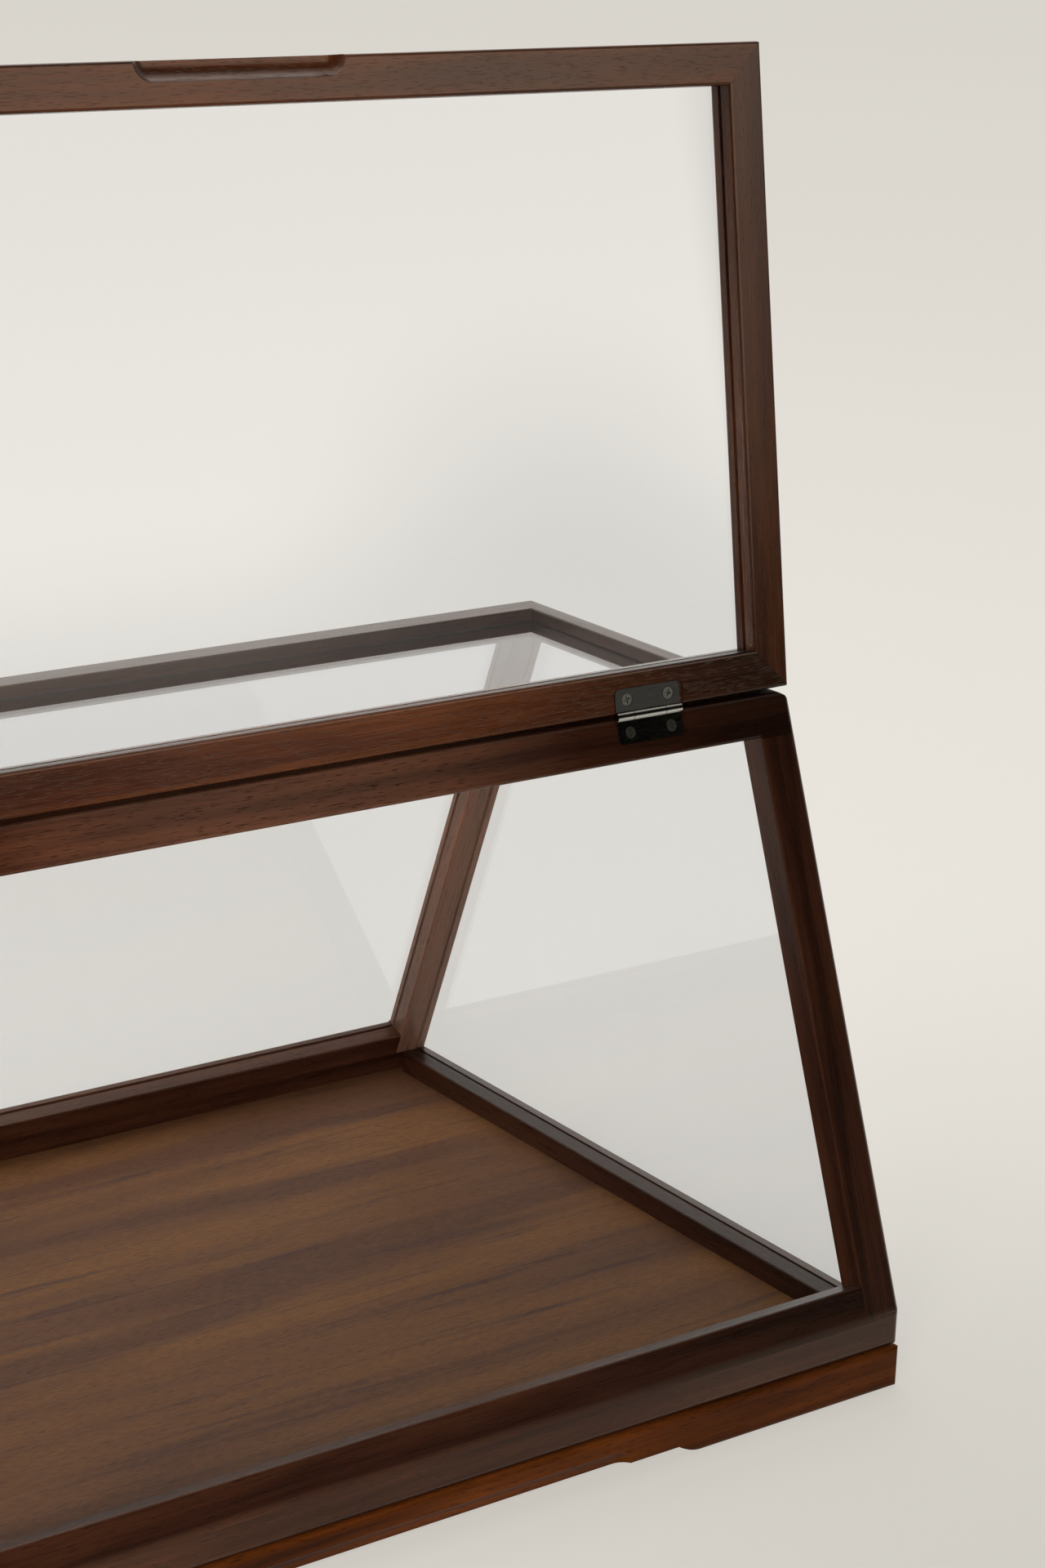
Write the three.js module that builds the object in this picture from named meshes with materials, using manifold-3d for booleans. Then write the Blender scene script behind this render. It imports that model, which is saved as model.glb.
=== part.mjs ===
// A wooden and glass tabletop display case on a low plinth, with its front door swung up and open.
// Millimetres, +Z up, X along the length, -Y at the front; the origin lies under the middle of the
// plinth, on the table. The door is drawn where it rests when it is open, leaning a little backwards.

import * as THREE from "three";
import { mergeVertices } from "three/addons/utils/BufferGeometryUtils.js";
import Module from "manifold-3d";

const wasm = await Module();
wasm.setup();

// ---------------------------------------------------------------- driving dimensions

const caseLength = 568;
const caseDepth = 426;
const topFaceHeight = 326.5;
const plinthHeight = 22;
const bandHeight = 19; // upright band of the case, between the plinth and the slope
const slopeRun = 108.6; // how far the front and the back lean in by the top

const frameThickness = 15.5; // front and back frames, square to the slope
const postWidth = 21.5;
const sillHeight = 16.5; // sloping bottom rails, measured up the slope
const lowerFrameHeight = 16.5;
const lowerRailWidth = 18;
const topFrameHeight = 19.5;
const topRailWidth = 16.3;
const plinthRailWidth = 40;
const plinthProud = 1; // plinth past the case, all round

const archHeight = 6; // gap under the plinth between its feet
const footLength = 115;
const footCurveLength = 21; // rise of each foot's inner end
const grooveLipHeight = 13.7; // top of the finger groove under the plinth's front, over the table
const grooveDepth = 4;
const grooveLength = 224;

const floorThickness = 5;
const floorRebate = 4;

const wallGlassThickness = 3;
const topGlassThickness = 4;
const topGlassDrop = 6.6; // top glass below the top face
const glassBite = 5; // depth of glass held in the wood
const glassPlace = 0.65; // glass line in a frame, as a share of its thickness from the inside

const doorRailWidth = 19.8;
const doorThickness = 16.2;
const doorOverhang = 1.2; // closed door past the foot of the slope
const doorGlassPlace = 0.54; // from the door's inner face
const doorLeanDegrees = 8.65; // open door past upright
const scoopHeight = 9.5;
const scoopDepth = 7;
const scoopLength = 86;

const hingeLength = 38;
const hingeEndDistance = 67.6; // case end to hinge
const leafWidth = 13; // pin axis to leaf edge
const leafThickness = 1.1;
const leafCornerRadius = 2.5;
const mortiseDepth = 0.55;
const mortiseSlack = 2.4; // extra mortise length, past the hinge's outer end
const barrelRadius = 2.2;
const pinRadius = 1.1;
const knuckleCount = 4;
const closedDoorGap = 1.2; // between the closed door and the slope

const hingeScrewSpacing = 24.4;
const hingeScrewDrop = 7.8; // pin axis to screws
const hingeScrewLength = 10;
const hingeScrewRadius = 1.45;
const hingeScrewHeadRadius = 2.9;

const plinthScrewLength = 31;
const plinthScrewRadius = 2;
const plinthScrewHeadRadius = 3.8;
const plinthScrewSink = 1; // head below the plinth's underside
const plinthScrewSpread = 280; // between the two screws of one end

const screwPoint = 1.5; // length of a screw's point, in shank radii
const recessReach = 0.62; // cross recess, in head radii
const recessWidth = 0.26;
const recessDepth = 0.4;
const screwTurn = 0.45; // radians from one screw's cross to the next

const caseCornerRadius = 4; // the sloping corner edges
const topCornerRadius = 8; // the top corners, seen from the front
const topEdgeRadius = 4;
const caseBottomRadius = 4;
const slopeBreakRadius = 14;
const plinthTopRadius = 3;
const plinthBottomRadius = 3;
const openingEdgeRadius = 1.6;
const innerEdgeRadius = 1;
const doorEdgeRadius = 1.8;

const glueLine = 0.02; // each side of a glued joint
const glassClearance = 0.25;
const fitClearance = 0.15; // metal to wood and metal to metal
const restClearance = 0.1; // open door's lower corner over the case top
const barrelClearance = 0.3;

const arcSteps = 5;
const roundSteps = 20;
const cutterSteps = 24;
const cutterEndSteps = 8;
const wedgeReach = 20; // a mitre's cutting wedge past the frame's faces

// ---------------------------------------------------------------- derived places

const halfLength = caseLength / 2;
const halfDepth = caseDepth / 2;
const plinthHalfLength = halfLength + plinthProud;
const plinthHalfDepth = halfDepth + plinthProud;
const breakHeight = plinthHeight + bandHeight;
const slopeRise = topFaceHeight - breakHeight;
const slopeAngle = Math.atan2(slopeRun, slopeRise);
const slopeSin = Math.sin(slopeAngle);
const slopeCos = Math.cos(slopeAngle);
const slopeLength = Math.hypot(slopeRun, slopeRise);
const lowerFrameTop = plinthHeight + lowerFrameHeight;
const topFrameBottom = topFaceHeight - topFrameHeight;
const topFrontEdge = -halfDepth + slopeRun;
const topOpeningDepth = -topFrontEdge - topRailWidth; // half of the top opening, front to back
const topOpeningLength = halfLength - topRailWidth; // half of it along the case
const openingHalfLength = halfLength - postWidth;
const floorTop = plinthHeight + floorThickness;
const doorHeight = slopeLength + doorOverhang;
const doorLean = THREE.MathUtils.degToRad(doorLeanDegrees);
const pinOffset = closedDoorGap / 2; // pin axis in front of the slope

// The pin stands off both wooden edges by the distance that lets the open door's rear lower corner
// come to rest on the top face of the case.
const pinDrop = (pinOffset + doorThickness - doorEdgeRadius) * Math.sin(doorLean);
const pinRise = pinOffset * slopeSin + doorEdgeRadius * Math.cos(doorLean) - doorEdgeRadius - pinDrop;
const pinStandoff = (restClearance - pinRise) / (slopeCos + Math.cos(doorLean));
const pinPlace = new THREE.Vector3(
  0,
  topFrontEdge + slopeSin * pinStandoff - slopeCos * pinOffset,
  topFaceHeight + slopeCos * pinStandoff + slopeSin * pinOffset,
);

// Y of the front slope's outer plane at a height, and of its inner plane.
const slopeAt = (height) => -halfDepth + ((height - breakHeight) * slopeRun) / slopeRise;
const innerSlopeAt = (height) => slopeAt(height) + frameThickness / slopeCos;

// ---------------------------------------------------------------- materials

const wood = (colour) => new THREE.MeshStandardMaterial({ color: colour, roughness: 0.45, metalness: 0 });
const caseWood = wood("#4a2a1d");
const doorWood = wood("#5a3527");
const plinthWood = wood("#57300f");
const floorWood = wood("#6a452d");
const glass = new THREE.MeshStandardMaterial({
  color: "#dfe6e2",
  roughness: 0.02,
  metalness: 0,
  transparent: true,
  opacity: 0.2,
});
const hingeSteel = new THREE.MeshStandardMaterial({ color: "#b9b9b2", roughness: 0.2, metalness: 1 });
const screwSteel = new THREE.MeshStandardMaterial({ color: "#c8c6bd", roughness: 0.3, metalness: 1 });

// ---------------------------------------------------------------- solids

function solid(geometry) {
  const bare = geometry.index ? geometry.clone() : geometry;
  bare.deleteAttribute("normal");
  bare.deleteAttribute("uv");
  const merged = mergeVertices(bare, 1e-4);
  const mesh = new wasm.Mesh({
    numProp: 3,
    vertProperties: new Float32Array(merged.attributes.position.array),
    triVerts: new Uint32Array(merged.index.array),
  });
  return new wasm.Manifold(mesh);
}

function geometryOf(body) {
  const mesh = body.getMesh();
  const geometry = new THREE.BufferGeometry();
  geometry.setAttribute("position", new THREE.BufferAttribute(new Float32Array(mesh.vertProperties), 3));
  geometry.setIndex(new THREE.BufferAttribute(new Uint32Array(mesh.triVerts), 1));
  return geometry;
}

// A mirror image of a solid, across the plane that lies at a place on one axis.
function mirrored(body, axis, place = 0) {
  const geometry = geometryOf(body);
  const [x, y, z] = ["x", "y", "z"].map((name) => name === axis);
  geometry.scale(x ? -1 : 1, y ? -1 : 1, z ? -1 : 1);
  geometry.translate(x ? 2 * place : 0, y ? 2 * place : 0, z ? 2 * place : 0);
  const corners = geometry.index.array;
  for (let i = 0; i < corners.length; i += 3) {
    [corners[i], corners[i + 1]] = [corners[i + 1], corners[i]];
  }
  return solid(geometry);
}

const meet = (...bodies) => bodies.reduce((whole, body) => whole.intersect(body));
const join = (...bodies) => bodies.reduce((whole, body) => whole.add(body));
const cut = (body, ...cutters) => cutters.reduce((rest, cutter) => rest.subtract(cutter), body);

// A polygon whose corners are rounded: each corner is [x, y] or [x, y, radius].
function outline(corners) {
  const shape = new THREE.Shape();
  const count = corners.length;
  corners.forEach(([x, y, radius = 0], i) => {
    const corner = new THREE.Vector2(x, y);
    const before = new THREE.Vector2(...corners[(i + count - 1) % count].slice(0, 2));
    const after = new THREE.Vector2(...corners[(i + 1) % count].slice(0, 2));
    const back = before.sub(corner).normalize();
    const on = after.sub(corner).normalize();
    const half = Math.acos(THREE.MathUtils.clamp(back.dot(on), -1, 1)) / 2;
    const reach = radius / Math.tan(half);
    for (let step = 0; step <= (radius > 0 ? arcSteps : 0); step += 1) {
      const point = radius > 0 ? roundedPoint(corner, back, on, reach, radius, half, step) : corner;
      if (i === 0 && step === 0) {
        shape.moveTo(point.x, point.y);
      } else {
        shape.lineTo(point.x, point.y);
      }
    }
  });
  return shape;
}

function roundedPoint(corner, back, on, reach, radius, half, step) {
  const middle = back.clone().add(on).normalize();
  const centre = corner.clone().addScaledVector(middle, radius / Math.sin(half));
  const start = corner.clone().addScaledVector(back, reach).sub(centre);
  const end = corner.clone().addScaledVector(on, reach).sub(centre);
  const sweep = Math.atan2(start.cross(end), start.dot(end));
  return start.rotateAround(new THREE.Vector2(), (sweep * step) / arcSteps).add(centre);
}

// An outline drawn on two axes and carried along their cross product, from one distance to another.
function drawnOut(shape, origin, across, up, from, to) {
  const geometry = new THREE.ExtrudeGeometry(shape, { depth: to - from, bevelEnabled: false, steps: 1 });
  geometry.translate(0, 0, from);
  const along = across.clone().cross(up);
  const place = new THREE.Matrix4().makeBasis(across, up, along).setPosition(origin);
  geometry.applyMatrix4(place);
  return solid(geometry);
}

const X = new THREE.Vector3(1, 0, 0);
const Y = new THREE.Vector3(0, 1, 0);
const Z = new THREE.Vector3(0, 0, 1);
const ORIGIN = new THREE.Vector3();
const far = 2 * (caseLength + caseDepth);

// Corners are on (Y, Z), (X, Z) and (X, Y).
const alongX = (corners, from, to) => drawnOut(outline(corners), ORIGIN, Y, Z, from, to);
const alongY = (corners, from, to) => mirrored(drawnOut(outline(corners), ORIGIN, X, Z, from, to), "y");
const alongZ = (corners, from, to) => drawnOut(outline(corners), ORIGIN, X, Y, from, to);

function box(x0, x1, y0, y1, z0, z1) {
  const geometry = new THREE.BoxGeometry(x1 - x0, y1 - y0, z1 - z0);
  geometry.translate((x0 + x1) / 2, (y0 + y1) / 2, (z0 + z1) / 2);
  return solid(geometry);
}

const level = (z0, z1) => box(-far, far, -far, far, z0, z1);

// A round bar along X.
function barAlongX(radius, x0, x1, y, z, steps = roundSteps) {
  const geometry = new THREE.CylinderGeometry(radius, radius, x1 - x0, steps);
  geometry.rotateZ(-Math.PI / 2);
  geometry.translate((x0 + x1) / 2, y, z);
  return solid(geometry);
}

// A round bar along X with ball ends, the path of a round cutter.
function cutterPath(radius, halfStraight, y, z) {
  const geometry = new THREE.CapsuleGeometry(radius, 2 * halfStraight, cutterEndSteps, cutterSteps);
  geometry.rotateZ(-Math.PI / 2);
  geometry.translate(0, y, z);
  return solid(geometry);
}

// The part of a frame that its mitres leave to one rail: a trapezoid with 45 degree ends, whose long
// side runs along the rail. The frame measures 2 * half along the rail, and 2 * near across it.
function mitreWedge(half, near, inward) {
  const end = half - Math.SQRT2 * glueLine;
  return [
    [-(end + wedgeReach), -(near + wedgeReach)],
    [end + wedgeReach, -(near + wedgeReach)],
    [end - inward, -(near - inward)],
    [-(end - inward), -(near - inward)],
  ];
}

const quarterTurn = ([along, across]) => [-across, along];

function frontWedge(halfX, halfY, inward) {
  return alongZ(mitreWedge(halfX, halfY, inward), 0, far);
}

function endWedge(halfX, halfY, inward) {
  return alongZ(mitreWedge(halfY, halfX, inward).map(quarterTurn), 0, far);
}

// ---------------------------------------------------------------- the case's outer shape

// The front slope, as a long bar with rounded edges, on X and the slope's inward normal.
const slopeNormal = new THREE.Vector3(0, slopeCos, -slopeSin);
const slopeOrigin = new THREE.Vector3(0, -halfDepth, breakHeight);
const onSlope = (corners, from, to) => drawnOut(outline(corners), slopeOrigin, X, slopeNormal, from, to);

function caseForm() {
  const side = [
    [-halfDepth, plinthHeight, caseBottomRadius],
    [halfDepth, plinthHeight, caseBottomRadius],
    [halfDepth, breakHeight, slopeBreakRadius],
    [-topFrontEdge, topFaceHeight, topEdgeRadius],
    [topFrontEdge, topFaceHeight, topEdgeRadius],
    [-halfDepth, breakHeight, slopeBreakRadius],
  ];
  const front = [
    [-halfLength, plinthHeight, caseBottomRadius],
    [halfLength, plinthHeight, caseBottomRadius],
    [halfLength, topFaceHeight, topCornerRadius],
    [-halfLength, topFaceHeight, topCornerRadius],
  ];
  const plan = [
    [-halfLength, -halfDepth, caseCornerRadius],
    [halfLength, -halfDepth, caseCornerRadius],
    [halfLength, halfDepth, caseCornerRadius],
    [-halfLength, halfDepth, caseCornerRadius],
  ];
  const slope = [
    [-halfLength, 0, caseCornerRadius],
    [halfLength, 0, caseCornerRadius],
    [halfLength, far],
    [-halfLength, far],
  ];
  const frontSlope = onSlope(slope, -far, far);
  return meet(
    alongX(side, -halfLength, halfLength),
    alongY(front, -halfDepth, halfDepth),
    alongZ(plan, 0, topFaceHeight),
    frontSlope,
    mirrored(frontSlope, "y"),
  );
}

const form = caseForm();

// ---------------------------------------------------------------- glass

// Each pane is drawn with a clearance, so that the same outline, grown, cuts its groove.
function endPane(clearance) {
  const bottom = lowerFrameTop - glassBite - clearance;
  const top = topFrameBottom + glassBite + clearance;
  const inward = (frameThickness - glassBite - clearance) / slopeCos;
  const face = [
    [slopeAt(bottom) + inward, bottom],
    [-slopeAt(bottom) - inward, bottom],
    [-slopeAt(top) - inward, top],
    [slopeAt(top) + inward, top],
  ];
  const centre = halfLength - (1 - glassPlace) * lowerRailWidth;
  const half = wallGlassThickness / 2 + clearance;
  return alongX(face, centre - half, centre + half);
}

function backPane(clearance) {
  const halfX = openingHalfLength + glassBite + clearance;
  const centre = (1 - glassPlace) * frameThickness;
  const half = wallGlassThickness / 2 + clearance;
  const face = [
    [-halfX, centre - half],
    [halfX, centre - half],
    [halfX, centre + half],
    [-halfX, centre + half],
  ];
  const bottom = sillHeight - glassBite - clearance;
  const top = (topFrameBottom - breakHeight) / slopeCos + glassBite + clearance;
  return mirrored(onSlope(face, bottom, top), "y");
}

function topPane(clearance) {
  const halfX = topOpeningLength + glassBite + clearance;
  const halfY = topOpeningDepth + glassBite + clearance;
  const top = topFaceHeight - topGlassDrop;
  return box(-halfX, halfX, -halfY, halfY, top - topGlassThickness - clearance, top + clearance);
}

const rightPane = endPane(0);
const rightGroove = endPane(glassClearance);
const backGroove = backPane(glassClearance);
const topGroove = topPane(glassClearance);

// ---------------------------------------------------------------- lower frame and floor

const floorHalfX = halfLength - lowerRailWidth + floorRebate;
const floorHalfY = -innerSlopeAt(floorTop) + floorRebate;

function floorPanel(clearance) {
  const halfX = floorHalfX + clearance;
  const halfY = floorHalfY + clearance;
  return box(-halfX, halfX, -halfY, halfY, plinthHeight, floorTop);
}

function lowerFrontRail() {
  const section = [
    [-halfDepth, plinthHeight],
    [innerSlopeAt(plinthHeight), plinthHeight],
    [innerSlopeAt(lowerFrameTop), lowerFrameTop],
    [-halfDepth, lowerFrameTop],
  ];
  const rail = alongX(section, -halfLength, halfLength);
  const wedge = frontWedge(halfLength, halfDepth, lowerRailWidth + frameThickness);
  const endGrooves = [rightGroove, mirrored(rightGroove, "x")];
  return cut(meet(rail, wedge, form), floorPanel(glassClearance), ...endGrooves);
}

function lowerEndRail() {
  const inner = halfLength - lowerRailWidth;
  const section = [
    [inner, plinthHeight],
    [halfLength, plinthHeight],
    [halfLength, lowerFrameTop],
    [inner, lowerFrameTop, innerEdgeRadius],
  ];
  const rail = alongY(section, -halfDepth, halfDepth);
  const wedge = endWedge(halfLength, halfDepth, lowerRailWidth + frameThickness);
  return cut(meet(rail, wedge, form), floorPanel(glassClearance), rightGroove, ...plinthScrewHoles(1));
}

// ---------------------------------------------------------------- sloping frames

// The front's sloping bottom rail, between the posts; its top face is square to the slope.
function sillRail() {
  const up = new THREE.Vector2(slopeSin, slopeCos);
  const inward = new THREE.Vector2(slopeCos, -slopeSin);
  const breakPoint = new THREE.Vector2(-halfDepth, breakHeight);
  const outerEdge = breakPoint.clone().addScaledVector(up, sillHeight);
  const innerEdge = outerEdge.clone().addScaledVector(inward, frameThickness);
  const section = [
    [-halfDepth, lowerFrameTop],
    [innerSlopeAt(lowerFrameTop), lowerFrameTop],
    [innerEdge.x, innerEdge.y, innerEdgeRadius],
    [outerEdge.x, outerEdge.y, openingEdgeRadius],
    [-halfDepth, breakHeight],
  ];
  const end = openingHalfLength - glueLine;
  return meet(alongX(section, -end, end), form);
}

// The front right corner post. Its edge is square beside the bottom rail, and rounded above it.
function cornerPost() {
  const section = (edgeRadius) => [
    [openingHalfLength, 0, edgeRadius],
    [halfLength, 0, caseCornerRadius],
    [halfLength, frameThickness, innerEdgeRadius],
    [openingHalfLength, frameThickness, innerEdgeRadius],
  ];
  const rounded = onSlope(section(openingEdgeRadius), -slopeLength, 2 * slopeLength);
  const bar = join(rounded, onSlope(section(0), -slopeLength, sillHeight));
  return cut(meet(bar, level(lowerFrameTop, topFrameBottom), form), rightGroove);
}

// ---------------------------------------------------------------- top frame

// Its lower front edge is rounded over the opening, and square over the posts.
function topFrontRail() {
  const inner = -topOpeningDepth;
  const section = (edgeRadius) => [
    [slopeAt(topFrameBottom), topFrameBottom, edgeRadius],
    [inner, topFrameBottom, innerEdgeRadius],
    [inner, topFaceHeight, innerEdgeRadius],
    [slopeAt(topFaceHeight), topFaceHeight],
  ];
  const rounded = alongX(section(openingEdgeRadius), -halfLength, halfLength);
  const end = alongX(section(0), openingHalfLength, halfLength);
  const rail = join(rounded, end, mirrored(end, "x"));
  const wedge = frontWedge(halfLength, -topFrontEdge, 2 * topRailWidth);
  return cut(meet(rail, wedge, form), topGroove, rightGroove, mirrored(rightGroove, "x"));
}

function topEndRail() {
  const inner = topOpeningLength;
  const section = [
    [inner, topFrameBottom, innerEdgeRadius],
    [halfLength, topFrameBottom],
    [halfLength, topFaceHeight],
    [inner, topFaceHeight, innerEdgeRadius],
  ];
  const rail = alongY(section, -halfDepth, halfDepth);
  const wedge = endWedge(halfLength, -topFrontEdge, 2 * topRailWidth);
  return cut(meet(rail, wedge, form), topGroove, rightGroove, backGroove);
}

// ---------------------------------------------------------------- plinth

// The arch under the front and back rails: feet at both ends, each rising on a wide curve.
function archCut() {
  const radius = (footCurveLength ** 2 + archHeight ** 2) / (2 * archHeight);
  const turn = Math.asin(footCurveLength / radius);
  const start = halfLength - footLength;
  const shape = new THREE.Shape();
  shape.moveTo(start, -archHeight);
  shape.absarc(start, radius, radius, -Math.PI / 2, -Math.PI / 2 - turn, true);
  shape.absarc(-start, radius, radius, -Math.PI / 2 + turn, -Math.PI / 2, true);
  shape.lineTo(-start, -archHeight);
  const points = new THREE.Shape(shape.getPoints(arcSteps));
  const reach = plinthHalfDepth + archHeight;
  return mirrored(drawnOut(points, ORIGIN, X, Z, -reach, reach), "y");
}

// A long finger groove along the plinth's lower front edge, run with a round cutter.
function plinthGroove() {
  const rise = grooveLipHeight - archHeight;
  const radius = (grooveDepth + (rise * rise) / grooveDepth) / 2;
  const centre = -plinthHalfDepth - (radius - grooveDepth);
  return cutterPath(radius, grooveLength / 2, centre, archHeight);
}

const plinthForm = meet(
  alongX(
    [
      [-plinthHalfDepth, 0, plinthBottomRadius],
      [plinthHalfDepth, 0, plinthBottomRadius],
      [plinthHalfDepth, plinthHeight, plinthTopRadius],
      [-plinthHalfDepth, plinthHeight, plinthTopRadius],
    ],
    -plinthHalfLength,
    plinthHalfLength,
  ),
  alongY(
    [
      [-plinthHalfLength, 0, plinthBottomRadius],
      [plinthHalfLength, 0, plinthBottomRadius],
      [plinthHalfLength, plinthHeight, plinthTopRadius],
      [-plinthHalfLength, plinthHeight, plinthTopRadius],
    ],
    -plinthHalfDepth,
    plinthHalfDepth,
  ),
  alongZ(
    [
      [-plinthHalfLength, -plinthHalfDepth, caseCornerRadius],
      [plinthHalfLength, -plinthHalfDepth, caseCornerRadius],
      [plinthHalfLength, plinthHalfDepth, caseCornerRadius],
      [-plinthHalfLength, plinthHalfDepth, caseCornerRadius],
    ],
    0,
    plinthHeight,
  ),
);

function plinthLongRail() {
  const inner = -plinthHalfDepth + plinthRailWidth;
  const rail = box(-plinthHalfLength, plinthHalfLength, -plinthHalfDepth, inner, 0, plinthHeight);
  const wedge = frontWedge(plinthHalfLength, plinthHalfDepth, 2 * plinthRailWidth);
  return cut(meet(rail, wedge, plinthForm), archCut());
}

function plinthEndRail() {
  const inner = plinthHalfLength - plinthRailWidth;
  const rail = box(inner, plinthHalfLength, -plinthHalfDepth, plinthHalfDepth, 0, plinthHeight);
  const wedge = endWedge(plinthHalfLength, plinthHalfDepth, 2 * plinthRailWidth);
  return cut(meet(rail, wedge, plinthForm), ...plinthScrewHoles(1));
}

// ---------------------------------------------------------------- screws

// A countersunk wood screw, point down, with its head's flat top at z = 0. Grown by a clearance, and
// carried on past its head by a mouth, the same shape cuts its hole.
function screwBody(length, radius, headRadius, clearance = 0, mouth = clearance) {
  const coneDepth = headRadius - radius;
  const point = screwPoint * radius;
  const profile = [
    [0, mouth],
    [headRadius + clearance, mouth],
    [headRadius + clearance, -clearance],
    [radius + clearance, -coneDepth - clearance],
    [radius + clearance, point - length],
    [0, -length - clearance],
  ].map(([x, y]) => new THREE.Vector2(x, y));
  const geometry = new THREE.LatheGeometry(profile.reverse(), roundSteps);
  geometry.rotateX(Math.PI / 2);
  return solid(geometry);
}

function crossRecess(headRadius, turn) {
  const length = 2 * recessReach * headRadius;
  const width = recessWidth * headRadius;
  const depth = recessDepth * headRadius;
  const blade = new THREE.BoxGeometry(length, width, 2 * depth);
  const crossed = blade.clone().rotateZ(Math.PI / 2);
  const both = solid(blade).add(solid(crossed));
  const geometry = geometryOf(both);
  geometry.rotateZ(turn);
  return solid(geometry);
}

function screw(length, radius, headRadius, turn) {
  return cut(screwBody(length, radius, headRadius), crossRecess(headRadius, turn));
}

function placed(body, matrix) {
  const geometry = geometryOf(body);
  geometry.applyMatrix4(matrix);
  return solid(geometry);
}

// Plinth screws point upwards through the end rails into the lower frame.
function plinthScrewPlace(side, end) {
  const x = side * (halfLength - lowerRailWidth / 2);
  return new THREE.Matrix4()
    .makeRotationX(Math.PI)
    .setPosition(x, (end * plinthScrewSpread) / 2, plinthScrewSink);
}

function plinthScrewHoles(side) {
  const sizes = [plinthScrewLength, plinthScrewRadius, plinthScrewHeadRadius];
  const hole = screwBody(...sizes, fitClearance, 2 * plinthScrewSink);
  return [-1, 1].map((end) => placed(hole, plinthScrewPlace(side, end)));
}

// ---------------------------------------------------------------- hinges

// A hinge leaf, hanging from the pin axis along X: the wood's face is pinOffset behind the axis.
const leafFront = pinOffset - (leafThickness - mortiseDepth);
const leafBack = leafFront + leafThickness;
const knuckleLength = hingeLength / knuckleCount;
const hingeCentre = halfLength - hingeEndDistance - hingeLength / 2;

function hingeLeaf() {
  const halfX = hingeLength / 2;
  const plate = drawnOut(
    outline([
      [-halfX, -leafWidth, leafCornerRadius],
      [halfX, -leafWidth, leafCornerRadius],
      [halfX, 0],
      [-halfX, 0],
    ]),
    ORIGIN,
    X,
    Z,
    -leafBack,
    -leafFront,
  );
  let leaf = plate;
  for (let i = 0; i < knuckleCount; i += 2) {
    const start = -halfX + i * knuckleLength;
    const own = barAlongX(barrelRadius, start, start + knuckleLength - fitClearance, 0, 0);
    leaf = leaf.add(own);
  }
  for (let i = 1; i < knuckleCount; i += 2) {
    const start = -halfX + i * knuckleLength;
    const end = i === knuckleCount - 1 ? start + 2 * knuckleLength : start + knuckleLength;
    leaf = leaf.subtract(barAlongX(barrelRadius + fitClearance, start - fitClearance, end, 0, 0));
  }
  const bore = barAlongX(pinRadius + fitClearance, -hingeLength, hingeLength, 0, 0);
  return cut(leaf, bore, ...hingeScrewPlaces().map((place) => placed(hingeScrewHole(), place)));
}

function hingeScrewHole() {
  return screwBody(hingeScrewLength, hingeScrewRadius, hingeScrewHeadRadius, fitClearance);
}

// The screws' heads look forward, out of the leaf.
function hingeScrewPlaces() {
  return [-1, 1].map((side) =>
    new THREE.Matrix4()
      .makeRotationX(Math.PI / 2)
      .setPosition((side * hingeScrewSpacing) / 2, leafFront + fitClearance / 2, -hingeScrewDrop),
  );
}

// What one rail loses to a hinge: the leaf's shallow mortise, the barrel's round and the pilot holes.
// The mortise is a little long on one side: slackSide is +1 or -1.
function hingeSeat(slackSide) {
  const halfX = hingeLength / 2 + fitClearance;
  const left = -halfX - (slackSide < 0 ? mortiseSlack : 0);
  const right = halfX + (slackSide > 0 ? mortiseSlack : 0);
  const bottom = -leafWidth - fitClearance;
  const mortise = drawnOut(
    outline([
      [left, bottom, leafCornerRadius],
      [right, bottom, leafCornerRadius],
      [right, leafWidth],
      [left, leafWidth],
    ]),
    ORIGIN,
    X,
    Z,
    -leafBack - glueLine,
    leafWidth,
  );
  const round = barAlongX(barrelRadius + barrelClearance, -halfX, halfX, 0, 0);
  const holes = hingeScrewPlaces().map((place) => placed(hingeScrewHole(), place));
  return holes.reduce((seat, hole) => seat.add(hole), mortise.add(round));
}

// The slope's own frame at the pin, and the open door's frame there.
const slopeFrame = new THREE.Matrix4()
  .makeRotationX(-slopeAngle)
  .setPosition(pinPlace);
const halfTurn = new THREE.Matrix4().makeRotationY(Math.PI);

// ---------------------------------------------------------------- door, drawn on its pin axis

// X along the pin, Y from the inner face to the outer, Z from the hinged edge to the free one.
const doorInner = pinOffset;
const doorOuter = pinOffset + doorThickness;
const doorBottom = pinStandoff;
const doorTop = doorBottom + doorHeight;
const doorMiddle = (doorBottom + doorTop) / 2;

function doorForm() {
  const side = [
    [doorInner, doorBottom, doorEdgeRadius],
    [doorOuter, doorBottom, doorEdgeRadius],
    [doorOuter, doorTop, doorEdgeRadius],
    [doorInner, doorTop, doorEdgeRadius],
  ];
  const face = [
    [-halfLength, doorBottom, doorEdgeRadius],
    [halfLength, doorBottom, doorEdgeRadius],
    [halfLength, doorTop, doorEdgeRadius],
    [-halfLength, doorTop, doorEdgeRadius],
  ];
  const plan = [
    [-halfLength, doorInner, doorEdgeRadius],
    [halfLength, doorInner, doorEdgeRadius],
    [halfLength, doorOuter, doorEdgeRadius],
    [-halfLength, doorOuter, doorEdgeRadius],
  ];
  return meet(
    alongX(side, -halfLength, halfLength),
    alongY(face, doorInner, doorOuter),
    alongZ(plan, doorBottom, doorTop),
  );
}

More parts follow.
